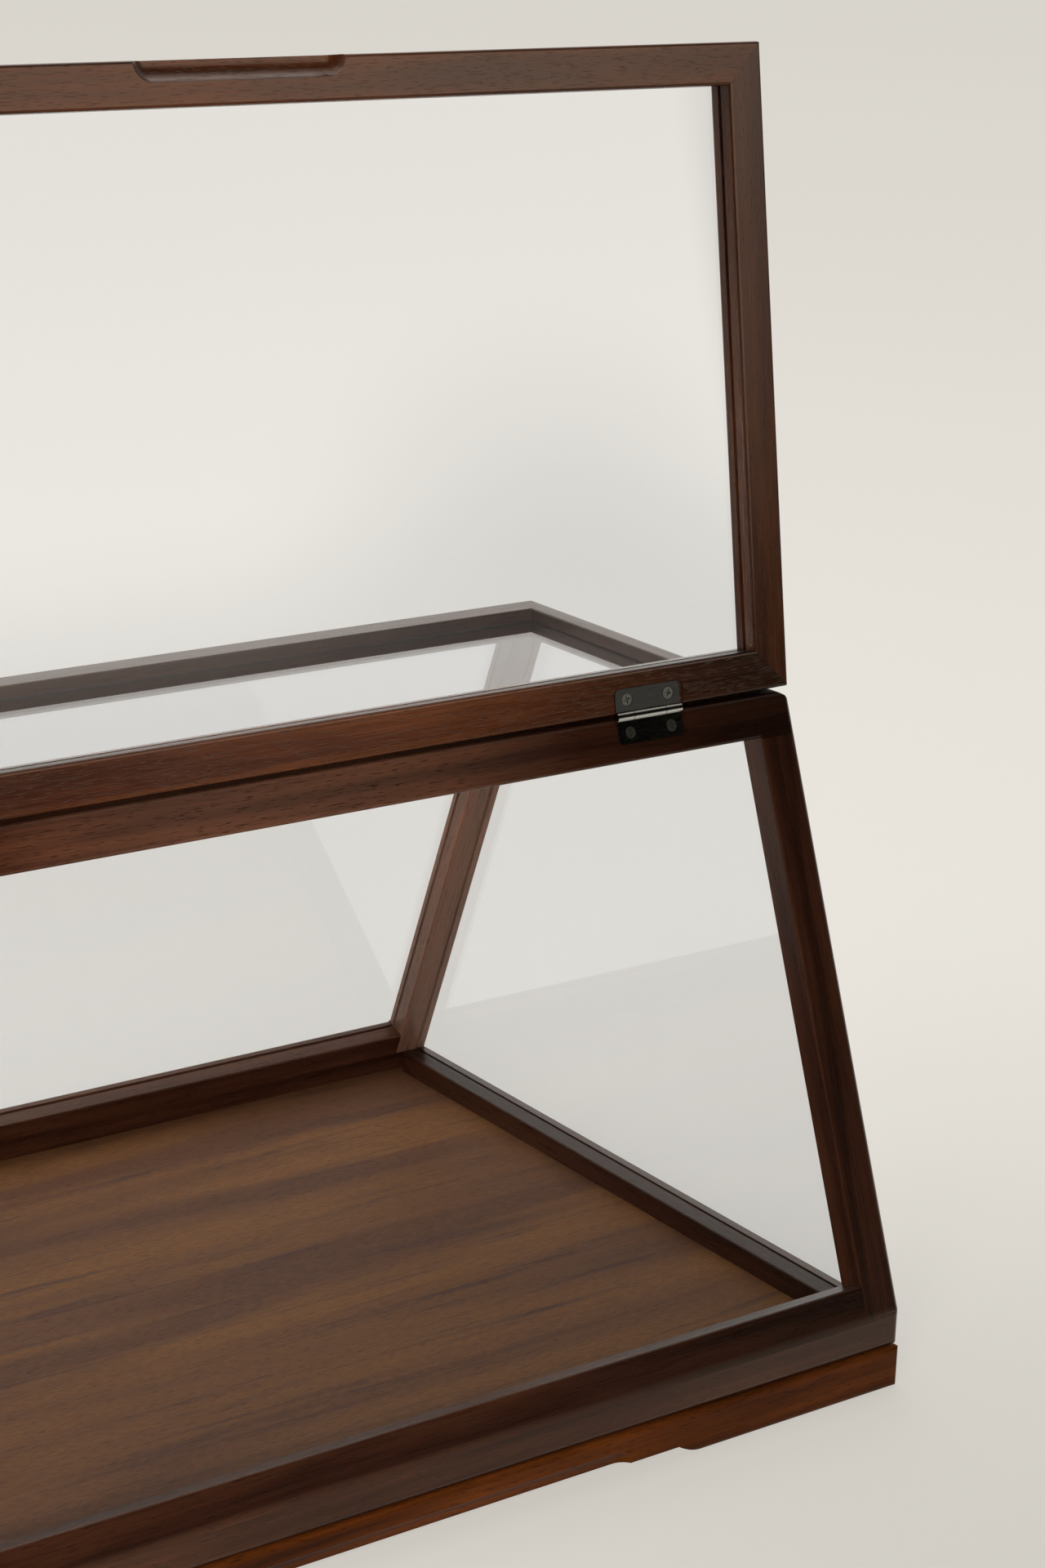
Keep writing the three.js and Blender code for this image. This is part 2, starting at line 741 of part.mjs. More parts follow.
function doorPane(clearance) {
  const halfX = halfLength - doorRailWidth + glassBite + clearance;
  const halfZ = doorHeight / 2 - doorRailWidth + glassBite + clearance;
  const centre = doorInner + doorGlassPlace * doorThickness;
  const half = wallGlassThickness / 2 + clearance;
  return box(-halfX, halfX, centre - half, centre + half, doorMiddle - halfZ, doorMiddle + halfZ);
}

// The mitres' wedge for a rail, or for the right stile.
function doorWedge(piece) {
  const halfZ = doorHeight / 2;
  const inward = 2 * doorRailWidth;
  const corners =
    piece === "rail"
      ? mitreWedge(halfLength, halfZ, inward)
      : mitreWedge(halfZ, halfLength, inward).map(quarterTurn);
  const lifted = corners.map(([x, z]) => [x, z + doorMiddle]);
  return alongY(lifted, doorInner, doorOuter);
}

// The rail that both long sides of the door share, drawn at the hinged side.
function doorRail() {
  const section = [
    [doorInner, doorBottom],
    [doorOuter, doorBottom],
    [doorOuter, doorBottom + doorRailWidth, openingEdgeRadius],
    [doorInner, doorBottom + doorRailWidth, openingEdgeRadius],
  ];
  const rail = alongX(section, -halfLength, halfLength);
  return cut(meet(rail, doorWedge("rail"), doorForm()), doorPane(glassClearance));
}

// The free side's rail, with a finger scoop along its inner edge. The cutter's axis lies outside the
// inner face, so the scoop is taller than it is deep.
function doorFreeRail() {
  const radius = (scoopDepth + (scoopHeight * scoopHeight) / scoopDepth) / 2;
  const scoop = cutterPath(radius, scoopLength / 2, doorInner - (radius - scoopDepth), doorTop);
  return cut(mirrored(doorRail(), "z", doorMiddle), scoop);
}

function doorStile() {
  const inner = halfLength - doorRailWidth;
  const section = [
    [inner, doorInner, openingEdgeRadius],
    [halfLength, doorInner],
    [halfLength, doorOuter],
    [inner, doorOuter, openingEdgeRadius],
  ];
  const stile = alongZ(section, doorBottom, doorTop);
  return cut(meet(stile, doorWedge("stile"), doorForm()), doorPane(glassClearance));
}

// ---------------------------------------------------------------- the whole

const model = new THREE.Group();
const doorGroup = new THREE.Group();
doorGroup.position.copy(pinPlace);
doorGroup.rotation.x = -doorLean;
model.add(doorGroup);

function add(group, name, body, material) {
  const geometry = geometryOf(body);
  geometry.computeVertexNormals();
  const mesh = new THREE.Mesh(geometry, material);
  mesh.name = name;
  group.add(mesh);
}

function addBothEnds(name, body, material) {
  add(model, `${name}_right`, body, material);
  add(model, `${name}_left`, mirrored(body, "x"), material);
}

// Plinth
add(model, "plinth_rail_front", cut(plinthLongRail(), plinthGroove()), plinthWood);
add(model, "plinth_rail_back", mirrored(plinthLongRail(), "y"), plinthWood);
addBothEnds("plinth_rail", plinthEndRail(), plinthWood);

// Lower frame and floor
add(model, "lower_rail_front", lowerFrontRail(), caseWood);
add(model, "lower_rail_back", mirrored(lowerFrontRail(), "y"), caseWood);
addBothEnds("lower_rail", lowerEndRail(), caseWood);
add(model, "floor_panel", floorPanel(0), floorWood);

// Sloping frames
const backPost = cut(mirrored(cornerPost(), "y"), backGroove);
add(model, "sill_rail_front", sillRail(), caseWood);
add(model, "sill_rail_back", cut(mirrored(sillRail(), "y"), backGroove), caseWood);
addBothEnds("post_front", cornerPost(), caseWood);
addBothEnds("post_back", backPost, caseWood);

// Top frame, with the hinges let into its front rail
const caseSeats = [-1, 1].map((side) => {
  const across = new THREE.Matrix4().makeTranslation(side * hingeCentre, 0, 0);
  return placed(hingeSeat(side), slopeFrame.clone().multiply(across));
});
add(model, "top_rail_front", cut(topFrontRail(), ...caseSeats), caseWood);
add(model, "top_rail_back", cut(mirrored(topFrontRail(), "y"), backGroove), caseWood);
addBothEnds("top_rail", topEndRail(), caseWood);

// Glass
add(model, "glass_top", topPane(0), glass);
add(model, "glass_back", backPane(0), glass);
addBothEnds("glass_end", rightPane, glass);

// Door, with the hinges let into its lower rail
const doorSeats = [-1, 1].map((side) => {
  const across = new THREE.Matrix4().makeTranslation(side * hingeCentre, 0, 0);
  return placed(hingeSeat(-side), across.multiply(halfTurn));
});
const stile = doorStile();
add(doorGroup, "door_rail_hinged", cut(doorRail(), ...doorSeats), doorWood);
add(doorGroup, "door_rail_free", doorFreeRail(), doorWood);
add(doorGroup, "door_stile_right", stile, doorWood);
add(doorGroup, "door_stile_left", mirrored(stile, "x"), doorWood);
add(doorGroup, "door_glass", doorPane(0), glass);

// Hinges and their screws
[["left", -1], ["right", 1]].forEach(([name, side], pair) => {
  const onCase = new THREE.Group();
  onCase.applyMatrix4(slopeFrame);
  model.add(onCase);
  const across = new THREE.Matrix4().makeTranslation(side * hingeCentre, 0, 0);
  const pin = barAlongX(pinRadius, -hingeLength / 2, hingeLength / 2, 0, 0);
  const turned = across.clone().multiply(halfTurn);
  add(onCase, `hinge_${name}_case_leaf`, placed(hingeLeaf(), across), hingeSteel);
  add(onCase, `hinge_${name}_pin`, placed(pin, across), hingeSteel);
  add(doorGroup, `hinge_${name}_door_leaf`, placed(hingeLeaf(), turned), hingeSteel);
  hingeScrewPlaces().forEach((place, i) => {
    const turn = (1 + i + 2 * pair) * screwTurn;
    const body = screw(hingeScrewLength, hingeScrewRadius, hingeScrewHeadRadius, turn);
    const casePlace = across.clone().multiply(place);
    const doorPlace = turned.clone().multiply(place);
    add(onCase, `hinge_${name}_case_screw_${i + 1}`, placed(body, casePlace), screwSteel);
    add(doorGroup, `hinge_${name}_door_screw_${i + 1}`, placed(body, doorPlace), screwSteel);
  });
});

// Screws from below that hold the plinth to the lower frame
[["left", -1], ["right", 1]].forEach(([name, side]) => {
  [["front", -1], ["back", 1]].forEach(([row, end], i) => {
    const turn = (1 + i) * screwTurn;
    const body = screw(plinthScrewLength, plinthScrewRadius, plinthScrewHeadRadius, turn);
    add(model, `plinth_screw_${row}_${name}`, placed(body, plinthScrewPlace(side, end)), screwSteel);
  });
});

export default model;
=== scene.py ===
"""A low wood and glass showcase on a plinth, its front door swung up and over, in a pale studio."""

import math

import bmesh
import bpy
from mathutils import Matrix, Vector


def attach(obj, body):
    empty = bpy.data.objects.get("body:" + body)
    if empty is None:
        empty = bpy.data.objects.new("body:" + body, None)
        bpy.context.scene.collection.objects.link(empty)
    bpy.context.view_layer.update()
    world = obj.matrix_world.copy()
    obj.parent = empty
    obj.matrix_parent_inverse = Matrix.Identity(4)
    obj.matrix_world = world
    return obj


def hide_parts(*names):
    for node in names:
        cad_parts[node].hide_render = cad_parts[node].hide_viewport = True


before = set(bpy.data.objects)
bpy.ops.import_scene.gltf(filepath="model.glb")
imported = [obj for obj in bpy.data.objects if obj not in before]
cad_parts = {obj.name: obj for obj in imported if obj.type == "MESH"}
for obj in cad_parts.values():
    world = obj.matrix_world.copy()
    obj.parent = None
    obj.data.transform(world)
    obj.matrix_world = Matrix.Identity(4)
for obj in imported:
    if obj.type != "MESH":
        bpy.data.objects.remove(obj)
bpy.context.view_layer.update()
MM = 0.001

# ---------------------------------------------------------------------------------------------
# Studio. A pale matt floor that runs on out of sight, a soft overhead lamp behind the case, two
# small lamps and a lit screen in front of it, in a room that is dim in front. The camera looks
# down on the case from the front left, as in the photograph.

scene = bpy.context.scene
scene.view_settings.view_transform = "Standard"


def linear(code):
    """The linear colour, with alpha 1, of an sRGB hex code."""
    shares = [int(code[i:i + 2], 16) / 255 for i in (1, 3, 5)]
    return [s / 12.92 if s <= 0.04045 else ((s + 0.055) / 1.055) ** 2.4 for s in shares] + [1.0]


def add_node(tree, kind, inputs=None, **settings):
    """Adds a node. inputs gives each socket, by name or number, a value or the socket feeding it."""
    made = tree.nodes.new(kind)
    for name, value in settings.items():
        setattr(made, name, value)
    for name, value in (inputs or {}).items():
        if isinstance(value, bpy.types.NodeSocket):
            tree.links.new(value, made.inputs[name])
        else:
            made.inputs[name].default_value = value
    return made


def new_material(name):
    """An empty material and its node tree."""
    made = bpy.data.materials.new(name)
    made.use_nodes = True
    made.node_tree.nodes.clear()
    return made, made.node_tree


def place(name, mesh):
    """Puts a mesh in the scene as an object of that name, at the origin."""
    thing = bpy.data.objects.new(name, mesh)
    scene.collection.objects.link(thing)
    return thing


CAMERA_PLACE = Vector((-0.75349, -1.3041, 0.76421))
CAMERA_AZIMUTH = math.radians(-36.225)
CAMERA_ELEVATION = math.radians(17.208)
CAMERA_ROLL = math.radians(1.868)
CAMERA_LENS = 77.5
CAMERA_SENSOR = 36
CAMERA_SEES_TO = 200

behind = Vector((math.sin(CAMERA_AZIMUTH) * math.cos(CAMERA_ELEVATION),
                 -math.cos(CAMERA_AZIMUTH) * math.cos(CAMERA_ELEVATION),
                 math.sin(CAMERA_ELEVATION)))
level_right = Vector((math.cos(CAMERA_AZIMUTH), math.sin(CAMERA_AZIMUTH), 0))
level_up = behind.cross(level_right)
right = math.cos(CAMERA_ROLL) * level_right + math.sin(CAMERA_ROLL) * level_up
up = -math.sin(CAMERA_ROLL) * level_right + math.cos(CAMERA_ROLL) * level_up
camera = place("camera", bpy.data.cameras.new("camera"))
turned = Matrix((right, up, behind)).transposed().to_4x4()
camera.matrix_world = Matrix.Translation(CAMERA_PLACE) @ turned
camera.data.lens = CAMERA_LENS
camera.data.sensor_width = CAMERA_SENSOR
camera.data.clip_end = CAMERA_SEES_TO
scene.camera = camera


def seen_or_mirrored(tree):
    """1 for rays from the camera, off metal and gloss, or through glass, and 0 for lighting rays."""
    path = add_node(tree, "ShaderNodeLightPath")
    seen = add_node(tree, "ShaderNodeMath", {0: path.outputs["Is Camera Ray"],
                                             1: path.outputs["Is Glossy Ray"]}, operation="MAXIMUM")
    return add_node(tree, "ShaderNodeMath", {0: seen.outputs[0],
                                             1: path.outputs["Is Transmission Ray"]},
                    operation="MAXIMUM").outputs[0]


def mirrored_only(tree):
    """1 for rays off metal and gloss, and 0 for what is seen straight or through glass."""
    path = add_node(tree, "ShaderNodeLightPath")
    return add_node(tree, "ShaderNodeMath", {0: path.outputs["Is Glossy Ray"],
                                             1: path.outputs["Is Transmission Ray"]},
                    operation="SUBTRACT", use_clamp=True).outputs[0]


# floor: white paper, which gives the eye an even pale ground with a soft shadow. A quarter of what is
# seen is the light that falls on it, and the rest is its own paleness, with a painted shadow of the
# case that makes it dimmer close in front of the case, and a painted fall of light that makes it a
# little dimmer far off. Metal and gloss mirror it as darker far in front, as a dim studio is
FLOOR_HALF = 40.0
FLOOR_LIT = linear("#e2e0db")
FLOOR_SHOWN = linear("#f1ede5")
FLOOR_OWN_SHARE = 0.72
FLOOR_MIRRORED_SHARE = 0.95
PAINTED_SHADOW_CENTRE = (0.0, -0.9, 0.0)
PAINTED_SHADOW_NEAR = {"From Min": 0.35, "From Max": 1.5, "To Min": 0.72, "To Max": 1.0}
PAINTED_FALLOFF_FAR = {"From Min": 1.9, "From Max": 9.0, "To Min": 1.0, "To Max": 0.92}
MIRRORED_FRONT = {"From Min": -2.2, "From Max": -0.25, "To Min": 0.04, "To Max": 1.0}
paper, tree = new_material("matt_white_paper")
where = add_node(tree, "ShaderNodeTexCoord")
away = add_node(tree, "ShaderNodeVectorMath", {0: where.outputs["Object"], 1: PAINTED_SHADOW_CENTRE},
                operation="DISTANCE")
# painted shadow of the case: the floor's own paleness dims close in front of it, and a painted fall
# of light dims it far off
near = add_node(tree, "ShaderNodeMapRange", {"Value": away.outputs["Value"], **PAINTED_SHADOW_NEAR},
                interpolation_type="SMOOTHSTEP")
far = add_node(tree, "ShaderNodeMapRange", {"Value": away.outputs["Value"], **PAINTED_FALLOFF_FAR})
level = add_node(tree, "ShaderNodeMath", {0: near.outputs[0], 1: far.outputs[0]},
                 operation="MULTIPLY")
split = add_node(tree, "ShaderNodeSeparateXYZ", {0: where.outputs["Object"]})
front = add_node(tree, "ShaderNodeMapRange", {"Value": split.outputs["Y"], **MIRRORED_FRONT},
                 interpolation_type="SMOOTHSTEP")
gloss = add_node(tree, "ShaderNodeMath", {0: level.outputs[0], 1: front.outputs[0]},
                 operation="MULTIPLY")
bounced = mirrored_only(tree)
level = add_node(tree, "ShaderNodeMix", {0: bounced, 2: level.outputs[0], 3: gloss.outputs[0]})
lit = add_node(tree, "ShaderNodeBsdfDiffuse", {"Color": FLOOR_LIT})
own = add_node(tree, "ShaderNodeEmission", {"Color": FLOOR_SHOWN, "Strength": level.outputs[0]})
own_share = add_node(tree, "ShaderNodeMix", {0: bounced, 2: FLOOR_OWN_SHARE,
                                             3: FLOOR_MIRRORED_SHARE})
share = add_node(tree, "ShaderNodeMath", {0: seen_or_mirrored(tree), 1: own_share.outputs[0]},
                 operation="MULTIPLY")
both = add_node(tree, "ShaderNodeMixShader", {0: share.outputs[0], 1: lit.outputs[0],
                                              2: own.outputs[0]})
add_node(tree, "ShaderNodeOutputMaterial", {"Surface": both.outputs[0]})
work = bmesh.new()
bmesh.ops.create_grid(work, x_segments=1, y_segments=1, size=FLOOR_HALF)
mesh = bpy.data.meshes.new("studio_floor")
work.to_mesh(mesh)
work.free()
mesh.materials.append(paper)
floor = place("studio_floor", mesh)

# room: pale light from behind and above, and the dim side of the studio in front. What metal
# and gloss mirror of it is set apart from what is seen: lighter behind and darker in front
ROOM_BRIGHT = linear("#fffdf8")
ROOM_DIM = linear("#5e5a55")
ROOM_STRENGTH = 0.95
ROOM_SHOWN = linear("#dad7d0")
ROOM_BACK_LEVEL = 1.35
ROOM_BACK = [ROOM_BACK_LEVEL * share for share in linear("#fff8ef")]
ROOM_FRONT = linear("#35342e")
ROOM_TURNS = {"From Min": -0.4, "From Max": 0.5}
world = bpy.data.worlds.new("studio_room")
scene.world = world
world.use_nodes = True
tree = world.node_tree
tree.nodes.clear()
where = add_node(tree, "ShaderNodeTexCoord")
split = add_node(tree, "ShaderNodeSeparateXYZ", {0: where.outputs["Generated"]})
depth = add_node(tree, "ShaderNodeMapRange", {"Value": split.outputs["Y"], **ROOM_TURNS},
                 interpolation_type="SMOOTHSTEP")
cast = add_node(tree, "ShaderNodeMix", {0: depth.outputs[0], 6: ROOM_DIM, 7: ROOM_BRIGHT},
                data_type="RGBA")
glow = add_node(tree, "ShaderNodeBackground", {"Color": cast.outputs[2],
                                               "Strength": ROOM_STRENGTH})
mirrored = add_node(tree, "ShaderNodeMix", {0: depth.outputs[0], 6: ROOM_FRONT, 7: ROOM_BACK},
                    data_type="RGBA")
seen = add_node(tree, "ShaderNodeMix", {0: mirrored_only(tree), 6: ROOM_SHOWN,
                                        7: mirrored.outputs[2]}, data_type="RGBA")
shown = add_node(tree, "ShaderNodeBackground", {"Color": seen.outputs[2], "Strength": 1.0})
both = add_node(tree, "ShaderNodeMixShader", {0: seen_or_mirrored(tree), 1: glow.outputs[0],
                                              2: shown.outputs[0]})
add_node(tree, "ShaderNodeOutputWorld", {"Surface": both.outputs[0]})


def softbox(name, at, towards, shape, across, watts, tint):
    """A soft lamp that the camera doesn't see."""
    data = bpy.data.lights.new(name, "AREA")
    data.shape = shape
    data.size = across
    data.energy = watts
    data.color = linear(tint)[:3]
    lamp = place(name, data)
    aim = Vector(towards) - Vector(at)
    lamp.matrix_world = Matrix.Translation(at) @ aim.to_track_quat("-Z", "Y").to_matrix().to_4x4()
    lamp.visible_camera = False
    return lamp


LAMP_SPREAD = math.radians(80)
softbox("overhead_lamp", (0.2, 0.9, 2.4), (0.1, 0.2, 0.2), "SQUARE", 2.4, 22, "#fffdf8")
front_lamp = softbox("front_lamp", (0.55, -0.95, 1.3), (0.2, -0.07, 0.62), "DISK", 0.9, 0.6,
                     "#fff4e8")
left_lamp = softbox("left_lamp", (-0.62, -0.85, 0.45), (-0.2, -0.15, 0.25), "DISK", 0.4, 3.0,
                    "#fff8ee")
for lamp in (front_lamp, left_lamp):
    lamp.data.spread = LAMP_SPREAD
    lamp.visible_glossy = False

# screen: a lit diffuser close in front at the right, which only the door is turned to. It gives
# the door's pane a soft bright field that fades out at its edges and at its lower right corner,
# and a stand in front of it leaves one soft dim place
SCREEN_PLACE = (0.65, -0.9, 0.85)
SCREEN_HALF = 1.0
SCREEN_LIGHT = 3.7
SCREEN_WIDE = (0.72, 0.98)
SCREEN_TOP = (0.4, 0.65)
SCREEN_FOOT = (-0.52, -0.36)
SCREEN_CORNER = (-0.3, 0.15)
SCREEN_CORNER_FROM = (0.255, 0.305)
STAND_PLACE = (0.09, -0.49, 0.0)
STAND_REACH = (0.32, 0.28, 1.0)
STAND_EDGE = 0.1
SCREEN_COLOUR = linear("#fff6ea")
diffuser, tree = new_material("lit_diffusion_cloth")
where = add_node(tree, "ShaderNodeTexCoord")
split = add_node(tree, "ShaderNodeSeparateXYZ", {0: where.outputs["Object"]})
across = add_node(tree, "ShaderNodeMath", {0: split.outputs["X"]}, operation="ABSOLUTE")
sides = add_node(tree, "ShaderNodeMapRange",
                 {"Value": across.outputs[0], "From Min": SCREEN_WIDE[0],
                  "From Max": SCREEN_WIDE[1], "To Min": 1.0, "To Max": 0.0},
                 interpolation_type="SMOOTHSTEP")
top = add_node(tree, "ShaderNodeMapRange",
               {"Value": split.outputs["Y"], "From Min": SCREEN_TOP[0],
                "From Max": SCREEN_TOP[1], "To Min": 1.0, "To Max": 0.0},
               interpolation_type="SMOOTHSTEP")
foot = add_node(tree, "ShaderNodeMapRange",
                {"Value": split.outputs["Y"], "From Min": SCREEN_FOOT[0],
                 "From Max": SCREEN_FOOT[1]}, interpolation_type="SMOOTHSTEP")
window = add_node(tree, "ShaderNodeMath", {0: sides.outputs[0], 1: top.outputs[0]},
                  operation="MULTIPLY")
window = add_node(tree, "ShaderNodeMath", {0: window.outputs[0], 1: foot.outputs[0]},
                  operation="MULTIPLY")
corner = add_node(tree, "ShaderNodeMapRange",
                  {"Value": split.outputs["Y"], "From Min": SCREEN_CORNER[0],
                   "From Max": SCREEN_CORNER[1]}, interpolation_type="SMOOTHSTEP")
there = add_node(tree, "ShaderNodeMapRange",
                 {"Value": split.outputs["X"], "From Min": SCREEN_CORNER_FROM[0],
                  "From Max": SCREEN_CORNER_FROM[1]}, interpolation_type="SMOOTHSTEP")
corner = add_node(tree, "ShaderNodeMix", {0: there.outputs[0], 2: 1.0, 3: corner.outputs[0]})
window = add_node(tree, "ShaderNodeMath", {0: window.outputs[0], 1: corner.outputs[0]},
                  operation="MULTIPLY")
stand = add_node(tree, "ShaderNodeVectorMath", {0: where.outputs["Object"], 1: STAND_PLACE},
                 operation="SUBTRACT")
stand = add_node(tree, "ShaderNodeVectorMath", {0: stand.outputs[0], 1: STAND_REACH},
                 operation="DIVIDE")
stand = add_node(tree, "ShaderNodeVectorMath", {0: stand.outputs[0]}, operation="LENGTH")
gap = add_node(tree, "ShaderNodeMapRange",
               {"Value": stand.outputs["Value"], "From Min": STAND_EDGE, "From Max": 1.0},
               interpolation_type="SMOOTHSTEP")
level = add_node(tree, "ShaderNodeMath", {0: gap.outputs[0], 1: SCREEN_LIGHT},
                 operation="MULTIPLY")
lit = add_node(tree, "ShaderNodeEmission", {"Color": SCREEN_COLOUR,
                                            "Strength": level.outputs[0]})
clear = add_node(tree, "ShaderNodeBsdfTransparent")
both = add_node(tree, "ShaderNodeMixShader", {0: window.outputs[0], 1: clear.outputs[0],
                                              2: lit.outputs[0]})
add_node(tree, "ShaderNodeOutputMaterial", {"Surface": both.outputs[0]})
work = bmesh.new()
bmesh.ops.create_grid(work, x_segments=1, y_segments=1, size=SCREEN_HALF)
mesh = bpy.data.meshes.new("diffusion_screen")
work.to_mesh(mesh)
work.free()
mesh.materials.append(diffuser)
screen = place("diffusion_screen", mesh)
screen.matrix_world = Matrix.Translation(SCREEN_PLACE) @ Matrix.Rotation(math.radians(90), 4, "X")
screen.visible_camera = False
screen.visible_diffuse = False
screen.visible_transmission = False
screen.visible_shadow = False
turned_to_screen = bpy.data.collections.new("turned_to_screen")
for light in (screen, front_lamp):
    light.light_linking.receiver_collection = turned_to_screen

# ---------------------------------------------------------------------------------------------
# Plinth. Four flat hardwood rails, mitred and glued into a frame, stained orange-brown and
# oiled. The front and back rails stand on two feet with a shallow arch between them, and a
# finger groove runs under the edge.

MERGE = 0.002 * MM
FLAT = math.radians(0.4)
ARRIS = math.radians(32)

# Sizes along and across the grain. The fine lines of real grain are about 0.3 mm apart and its
# pores about 2 mm by 0.15 mm: both are drawn some three times as coarse, so that they show.
STREAK = (240 * MM, 11 * MM)
FIBRE = (28 * MM, 0.9 * MM)
PORE = (6.5 * MM, 0.5 * MM)
BLOTCH = (90 * MM, 38 * MM)
PORE_DEPTH = 0.06 * MM
PORE_RELIEF = 0.6
FIBRE_RELIEF = 0.35
PORE_STAIN = 0.7
TONE_RANGE = (0.36, 0.64)
FIBRE_SHADES = (0.82, 1.16)
BLOTCH_SHADES = (0.8, 1.18)
# The next constants set each member lighter or darker from its middle to its ends, partly stain and
# partly painted light and shade, and above 1 turn it towards pale bare wood as a painted sheen.
STAIN_AND_LIGHT_FADES = (0.1, 1.0)
PALE_BARE_WOOD_SHEEN = linear("#8a7262")
BARE_AND_SHEEN_AT = 3.0
BARE_AND_SHEEN_SHARE = 0.3


def along_grain(tree, grain, size, seed=0.0):
    """The grain coordinates in steps of size, given as length along the grain and width across it."""
    long, wide = size
    return add_node(tree, "ShaderNodeMapping",
                    {"Vector": grain, "Location": (seed, seed * 1.7, seed * 0.6),
                     "Scale": (1 / long, 1 / wide, 1 / wide)}).outputs[0]


def stained_wood(name, dark, light, pore, roughness, gloss, tint):
    """Fine-pored stained hardwood: soft streaks, fibres, short dark pores, uneven colour, and painted
    light and shade along each member.
    """
    made, tree = new_material(name)
    grain = add_node(tree, "ShaderNodeAttribute", attribute_name="grain").outputs["Vector"]
    stain_and_light = add_node(tree, "ShaderNodeAttribute", attribute_name="stain_and_light").outputs["Vector"]
    stain_and_light = add_node(tree, "ShaderNodeSeparateXYZ", {0: stain_and_light})
    from_middle = add_node(tree, "ShaderNodeMath", {0: stain_and_light.outputs["Z"]}, operation="ABSOLUTE")
    stain_and_light = add_node(tree, "ShaderNodeMapRange",
                     {"Value": from_middle.outputs[0], "From Min": STAIN_AND_LIGHT_FADES[0],
                      "From Max": STAIN_AND_LIGHT_FADES[1],
                      "To Min": stain_and_light.outputs["X"], "To Max": stain_and_light.outputs["Y"]},
                     interpolation_type="SMOOTHSTEP")
    streak = add_node(tree, "ShaderNodeTexNoise",
                      {"Vector": along_grain(tree, grain, STREAK), "Scale": 1.0, "Detail": 3.0,
                       "Roughness": 0.55, "Distortion": 0.35})
    fibre = add_node(tree, "ShaderNodeTexNoise",
                     {"Vector": along_grain(tree, grain, FIBRE, 3.1), "Scale": 1.0, "Detail": 2.0,
                      "Roughness": 0.6})
    blotch = add_node(tree, "ShaderNodeTexNoise",
                      {"Vector": along_grain(tree, grain, BLOTCH, 7.7), "Scale": 1.0,
                       "Detail": 2.0})
    pores = add_node(tree, "ShaderNodeTexNoise",
                     {"Vector": along_grain(tree, grain, PORE, 11.3), "Scale": 1.0,
                      "Detail": 1.0})
    tone = add_node(tree, "ShaderNodeMapRange",
                    {"Value": streak.outputs[0], "From Min": TONE_RANGE[0],
                     "From Max": TONE_RANGE[1]})
    base = add_node(tree, "ShaderNodeMix", {0: tone.outputs[0], 6: dark, 7: light},
                    data_type="RGBA")
    fine = add_node(tree, "ShaderNodeMapRange",
                    {"Value": fibre.outputs[0], "From Min": 0.3, "From Max": 0.7,
                     "To Min": FIBRE_SHADES[0], "To Max": FIBRE_SHADES[1]})
    uneven = add_node(tree, "ShaderNodeMapRange",
                      {"Value": blotch.outputs[0], "From Min": 0.32, "From Max": 0.68,
                       "To Min": BLOTCH_SHADES[0], "To Max": BLOTCH_SHADES[1]})
    shade = add_node(tree, "ShaderNodeMath", {0: fine.outputs[0], 1: uneven.outputs[0]},
                     operation="MULTIPLY")
    # painted light and shade along the member, together with its stain
    shade = add_node(tree, "ShaderNodeMath", {0: shade.outputs[0], 1: stain_and_light.outputs[0]},
                     operation="MULTIPLY")
    toned = add_node(tree, "ShaderNodeVectorMath", {0: base.outputs[2], 3: shade.outputs[0]},
                     operation="SCALE")
    # a member set lighter than 1 shows pale bare wood: a painted sheen
    thin_stain_and_sheen = add_node(tree, "ShaderNodeMapRange",
                    {"Value": stain_and_light.outputs[0], "From Min": 1.0, "From Max": BARE_AND_SHEEN_AT,
                     "To Max": BARE_AND_SHEEN_SHARE})
    toned = add_node(tree, "ShaderNodeMix", {0: thin_stain_and_sheen.outputs[0], 6: toned.outputs[0],
                                             7: PALE_BARE_WOOD_SHEEN}, data_type="RGBA")
    open_pore = add_node(tree, "ShaderNodeMapRange",
                         {"Value": pores.outputs[0], "From Min": 0.6, "From Max": 0.7})
    dimmed = add_node(tree, "ShaderNodeMath", {0: open_pore.outputs[0], 1: PORE_STAIN},
                      operation="MULTIPLY")
    colour = add_node(tree, "ShaderNodeMix", {0: dimmed.outputs[0], 6: toned.outputs[2],
                                              7: pore}, data_type="RGBA")
    rough = add_node(tree, "ShaderNodeMapRange",
                     {"Value": fibre.outputs[0], "From Min": 0.3, "From Max": 0.7,
                      "To Min": roughness - 0.05, "To Max": roughness + 0.07})
    relief = add_node(tree, "ShaderNodeMath", {0: fibre.outputs[0], 1: FIBRE_RELIEF, 2: 1.0},
                      operation="MULTIPLY_ADD")
    relief = add_node(tree, "ShaderNodeMath", {0: relief.outputs[0], 1: open_pore.outputs[0]},
                      operation="SUBTRACT")
    bump = add_node(tree, "ShaderNodeBump", {"Strength": PORE_RELIEF, "Distance": PORE_DEPTH,
                                             "Height": relief.outputs[0]})
    skin = add_node(tree, "ShaderNodeBsdfPrincipled",
                    {"Base Color": colour.outputs[2], "Roughness": rough.outputs[0],
                     "Specular IOR Level": gloss, "Specular Tint": tint,
                     "Normal": bump.outputs[0]})
    add_node(tree, "ShaderNodeOutputMaterial", {"Surface": skin.outputs[0]})
    return made


